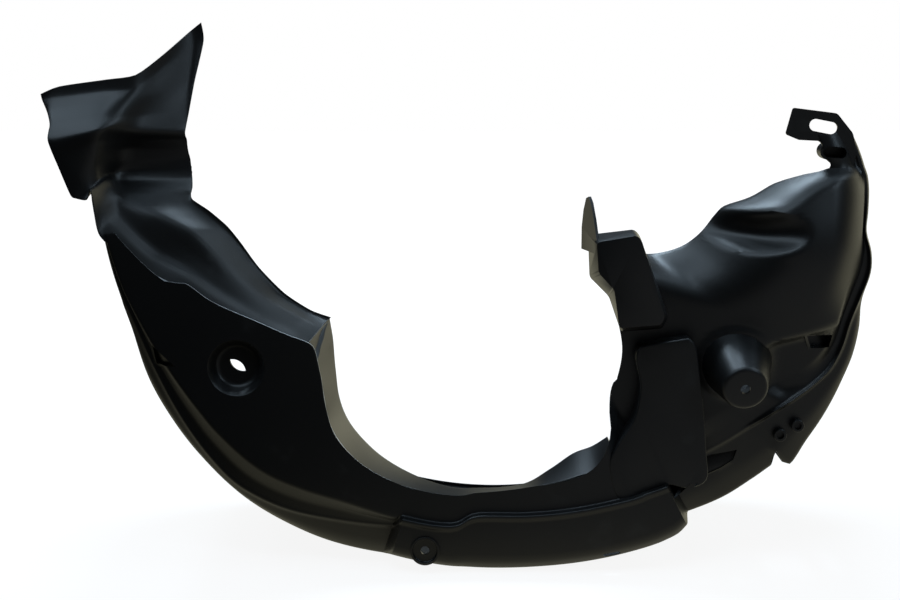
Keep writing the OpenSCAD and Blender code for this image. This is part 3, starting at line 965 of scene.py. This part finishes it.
shell = arch
shell.name = "liner_shell"
combine(
    shell,
    [upper, collar, panel_block, box_block, flap_block, boss_block, dish_block, seat_block, bracket_block,
     fold_block, clip_block, front_block, rear_block] + cup_blocks,
    "UNION",
)
combine(
    shell,
    [panel_hollow, box_hollow, boss_hollow, boss_cut, dish_hollow, eye_cut, seat_hollow, seat_cut]
    + [bracket_cut, fold_cut] + cup_hollows + cuts,
    "DIFFERENCE",
)

bm = bmesh.new()
bm.from_mesh(shell.data)
bmesh.ops.remove_doubles(bm, verts=bm.verts, dist=weld)
# This attribute marks the faces that get the painted highlight.
painted_highlight = bm.faces.layers.float.new("trimmed_edge")
for face in bm.faces:
    face.smooth = True
    face[painted_highlight] = gets_painted_highlight(face)
print("trimmed edge faces", sum(face[painted_highlight] > 0 for face in bm.faces))
for edge in bm.edges:
    edge.smooth = edge.calc_face_angle(0) < math.radians(sharp_turn)
bm.to_mesh(shell.data)
triangles = sum(len(face.verts) - 2 for face in bm.faces)
bm.free()
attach(shell, "root")
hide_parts("liner")
print("the shell has", triangles, "triangles")

# %% [markdown]
# ## Black polypropylene
# The plastic is nearly black and satin, with a fine grain and the scuffs of handling. The small class Value
# wraps a socket, so that the masks can be written as sums and products. Only base colour, roughness and the
# bump vary over the surface. The free edge of the flat front gets a paler base colour, a painted highlight
# where the real edge catches the light, and an attribute on its faces tells the material where.

# %% Shader helpers
class Value:
    """A shader socket that can be added and multiplied like a number."""

    def __init__(self, tree, socket):
        self.tree = tree
        self.socket = socket

    def math(self, operation, other):
        return self.tree.node("ShaderNodeMath", {"operation": operation}, {0: self, 1: other})

    def __add__(self, other):
        return self.math("ADD", other)

    __radd__ = __add__

    def __mul__(self, other):
        return self.math("MULTIPLY", other)

    __rmul__ = __mul__


class Tree:
    """The node tree of a material or of the world, with one method that makes any node."""

    def __init__(self, owner, output="ShaderNodeOutputMaterial"):
        owner.use_nodes = True
        self.owner = owner
        self.output = output
        self.nodes = owner.node_tree.nodes
        self.links = owner.node_tree.links
        self.nodes.clear()

    def node(self, kind, settings=None, inputs=None, output=0):
        made = self.nodes.new(kind)
        for name, value in (settings or {}).items():
            if name == "stops":
                set_stops(made.color_ramp, value)
            else:
                setattr(made, name, value)
        for name, value in (inputs or {}).items():
            if isinstance(value, Value):
                self.links.new(value.socket, made.inputs[name])
            else:
                made.inputs[name].default_value = value
        return Value(self, made.outputs[output])

    def finish(self, surface):
        out = self.nodes.new(self.output)
        self.links.new(surface.socket, out.inputs["Surface"])
        return self.owner


def set_stops(ramp, stops):
    """Gives a colour ramp its stops, each a position and a grey level."""
    while len(ramp.elements) < len(stops):
        ramp.elements.new(1)
    for element, (position, level) in zip(ramp.elements, stops):
        element.position = position
        element.color = (level, level, level, 1)


def blend(tree, share, first, second):
    """The first colour where the share is 0, the second where it is 1."""
    return tree.node("ShaderNodeMix", {"data_type": "RGBA"}, {0: share, 6: first, 7: second}, 2)


def between(tree, value, start, end):
    """0 where the value is at or under the start, 1 where it is at or over the end."""
    limits = {"Value": value, "From Min": start, "From Max": end}
    return tree.node("ShaderNodeMapRange", {"interpolation_type": "SMOOTHSTEP"}, limits)


def noise(tree, scale, detail):
    """Noise in Object coordinates; the scale is in waves per metre."""
    place_on = tree.node("ShaderNodeTexCoord", output="Object")
    return tree.node("ShaderNodeTexNoise", {}, {"Vector": place_on, "Scale": scale, "Detail": detail}, "Fac")


# %% The plastic
plastic_dark = (0.0045, 0.0045, 0.0048, 1)
plastic_worn = (0.012, 0.012, 0.012, 1)
# The pale colour is a painted highlight for the front's free edge.
plastic_painted_highlight = (0.4, 0.41, 0.42, 1)
polish = 0.33
scuff_stops = [(0.56, 0), (0.72, 1)]
grain_depth = 0.0004
grain_strength = 0.12


def plastic():
    tree = Tree(bpy.data.materials.new("black_polypropylene"))
    cloud = noise(tree, scale=9, detail=4)
    grain = noise(tree, scale=1400, detail=2)
    smudge = noise(tree, scale=38, detail=5)
    scuff = tree.node("ShaderNodeValToRGB", {"stops": scuff_stops}, {"Fac": smudge * cloud * 1.6}, "Color")
    # The attribute picks out the painted highlight on the front's free edge.
    trimmed_edge = tree.node("ShaderNodeAttribute", {"attribute_name": "trimmed_edge"}, {}, "Fac")
    worn = blend(tree, scuff, plastic_dark, plastic_worn)
    bump = tree.node(
        "ShaderNodeBump", {},
        {"Strength": grain_strength, "Distance": grain_depth, "Height": grain + smudge * 0.4}, "Normal",
    )
    surface = tree.node(
        "ShaderNodeBsdfPrincipled", {},
        {"Base Color": blend(tree, trimmed_edge, worn, plastic_painted_highlight),
         "Roughness": polish + 0.12 * cloud + 0.1 * scuff, "Normal": bump, "Specular IOR Level": 0.5},
        "BSDF",
    )
    return tree.finish(surface)


shell.data.materials.clear()
shell.data.materials.append(plastic())

# %% [markdown]
# ## Floor, background and lights
# A black satin part shows little but what it reflects, so the surroundings are set with care. Under and
# behind the part the floor is cream, and so is the room at the back right, which the walls that turn away
# from the viewer pick up at a grazing angle. In front it is dark at the left and grey at the right, so the
# flat face stays black, and straight above the room is a cool blue. Seven soft windows light the part: a
# key at the upper left, four smaller ones high up behind it, at its left and above the ledge, which give
# the skin that rolls away its blue sheen, one at the right for the shelf and a small one for the wing. The
# camera sees the floor and the room as white, and the floor keeps the part's shadow.

# %% The stage
cream = (1, 0.96, 0.7, 1)
sunlit = (1.7, 1.63, 1.2, 1)
cool = (0.62, 0.82, 1, 1)
room_grey = (0.33, 0.34, 0.34, 1)
room_dark = (0.02, 0.02, 0.02, 1)
white = (1, 1, 1, 1)
floor_light = 0.65
floor_glow = 0.9
floor_shade = (0.15, 0.15, 0.15, 1)
floor_half = 6


def part_of(tree, vector, axis):
    return tree.node("ShaderNodeSeparateXYZ", {}, {"Vector": vector}, axis)


def floor_material():
    tree = Tree(bpy.data.materials.new("floor"))
    camera_ray = tree.node("ShaderNodeLightPath", output="Is Camera Ray")
    place_on = tree.node("ShaderNodeTexCoord", output="Object")
    side, depth = part_of(tree, place_on, "X"), part_of(tree, place_on, "Y")
    distance = tree.node("ShaderNodeVectorMath", {"operation": "LENGTH"}, {0: place_on}, "Value")
    front = blend(tree, between(tree, side, -0.3, 0.25), room_dark, room_grey)
    under = blend(tree, between(tree, side, -0.9, -0.1), room_dark, cream)
    near = blend(tree, between(tree, depth, -0.3, 0.05), front, under)
    tone = blend(tree, between(tree, depth, 0.4, 1.4), near, cream)
    around = tree.node("ShaderNodeEmission", {}, {"Color": tone, "Strength": floor_light}, "Emission")
    glow = floor_glow + (1 - floor_glow) * between(tree, distance, 0.45, 1.2)
    bright = tree.node("ShaderNodeEmission", {}, {"Color": white, "Strength": glow}, "Emission")
    shade = tree.node("ShaderNodeBsdfDiffuse", {}, {"Color": floor_shade}, "BSDF")
    seen = tree.node("ShaderNodeAddShader", {}, {0: bright, 1: shade})
    return tree.finish(tree.node("ShaderNodeMixShader", {}, {0: camera_ray, 1: around, 2: seen}))


bm = bmesh.new()
bmesh.ops.create_grid(bm, x_segments=1, y_segments=1, size=floor_half)
bmesh.ops.translate(bm, vec=(0, 0, low.z), verts=bm.verts)
floor = new_object("floor", bm)
floor.data.materials.append(floor_material())


def studio():
    tree = Tree(bpy.data.worlds.new("studio"), "ShaderNodeOutputWorld")
    camera_ray = tree.node("ShaderNodeLightPath", output="Is Camera Ray")
    direction = tree.node("ShaderNodeTexCoord", output="Generated")
    side, depth, height = (part_of(tree, direction, axis) for axis in "XYZ")
    aside = between(tree, side, 0.15, 0.4)
    walls = blend(tree, between(tree, depth, 0.1, 0.5) * aside, room_dark, sunlit)
    upper = blend(tree, between(tree, height, 0.25, 0.6), walls, room_dark)
    tone = blend(tree, between(tree, height, 0.85, 1), upper, cool)
    room = tree.node("ShaderNodeBackground", {}, {"Color": tone, "Strength": 1}, "Background")
    seen = tree.node("ShaderNodeBackground", {}, {"Color": white, "Strength": 1}, "Background")
    return tree.finish(tree.node("ShaderNodeMixShader", {}, {0: camera_ray, 1: room, 2: seen}))


scene.world = studio()

lamp_aim = Vector((0, 0, 0.25))
daylight = (0.66, 0.84, 1)


def window(name, bearing, rise, distance, size, radiance):
    """A soft window that faces the part, with its bearing from the viewer's side to the right, in degrees."""
    turn, lift = math.radians(bearing), math.radians(rise)
    way = Vector((math.sin(turn) * math.cos(lift), -math.cos(turn) * math.cos(lift), math.sin(lift)))
    data = bpy.data.lights.new(name, "AREA")
    data.shape = "RECTANGLE"
    data.size, data.size_y = size
    data.energy = radiance * math.pi * size[0] * size[1]
    data.color = daylight
    lamp = bpy.data.objects.new(name, data)
    lamp.location = lamp_aim + distance * way
    lamp.rotation_euler = (-way).to_track_quat("-Z", "Y").to_euler()
    lamp.visible_camera = False
    scene.collection.objects.link(lamp)


window("key", -50, 50, 2.6, (1.4, 1.2), 2.5)
window("behind", 174, 64, 2.2, (0.9, 0.7), 19)
window("left", -92, 52, 2.4, (0.6, 0.4), 5)
window("ledge_light", -14, 60, 2.4, (0.5, 0.5), 6)
window("boss_light", -130, 60, 2.2, (0.35, 0.3), 36)
window("right", 80, 46, 2.2, (1, 0.9), 2.4)
window("wing_light", 48, 27, 2.4, (0.45, 0.35), 10)
